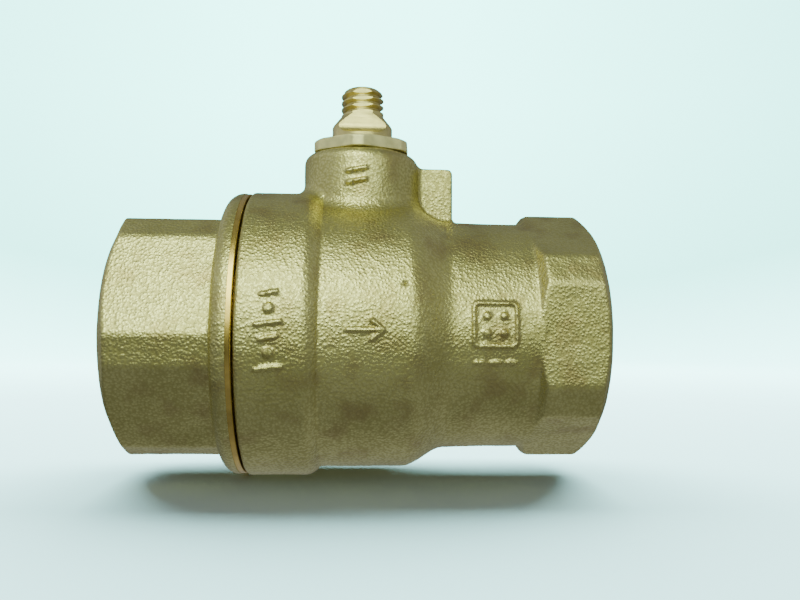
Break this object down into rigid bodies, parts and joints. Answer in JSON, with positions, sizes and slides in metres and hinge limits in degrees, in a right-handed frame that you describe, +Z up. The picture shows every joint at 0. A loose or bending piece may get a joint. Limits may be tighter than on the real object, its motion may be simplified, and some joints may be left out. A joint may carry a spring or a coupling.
{
  "type": "two-piece brass ball valve",
  "caption": "Two-piece forged brass shutoff ball valve with threaded sockets, hexagon ends and a threaded stem, shown without its handle.",
  "frame": {"origin": "centre of the ball, where the flow axis and the stem axis cross", "axes": "+X along the flow out of the body socket, with the screwed end cap on -X; +Z up the stem"},
  "size_m": [0.0831, 0.0512, 0.0713],
  "materials": {
    "forged_brass": "sand-blasted forging with a light tarnish",
    "turned_brass": "machined, satin",
    "plated_ball": "chrome-plated and polished",
    "seat_plastic": "white fluoroplastic, smooth",
    "ring_rubber": "black, smooth"
  },
  "bodies": {
    "housing": {"valve_body": "forged_brass", "end_cap": "forged_brass", "body_seal": "seat_plastic", "seat_inlet": "seat_plastic", "seat_outlet": "seat_plastic", "thrust_washer": "seat_plastic", "packing_lower": "seat_plastic", "packing_upper": "seat_plastic", "packing_nut": "turned_brass"},
    "stem": {"stem": "turned_brass", "stem_o_ring": "ring_rubber"},
    "ball": {"ball": "plated_ball"}
  },
  "joints": [
    {"name": "stem_turn", "type": "hinge", "parent": "housing", "child": "stem", "pos_m": [0, 0, 0.024], "axis": [0, 0, 1], "range_deg": [-90, 0]},
    {"name": "ball_turn", "type": "hinge", "parent": "housing", "child": "ball", "pos_m": [0, 0, 0], "axis": [0, 0, 1], "range_deg": [-90, 0]}
  ],
  "couplings": [
    {"joint": "ball_turn", "follows": "stem_turn", "ratio": 1}
  ]
}
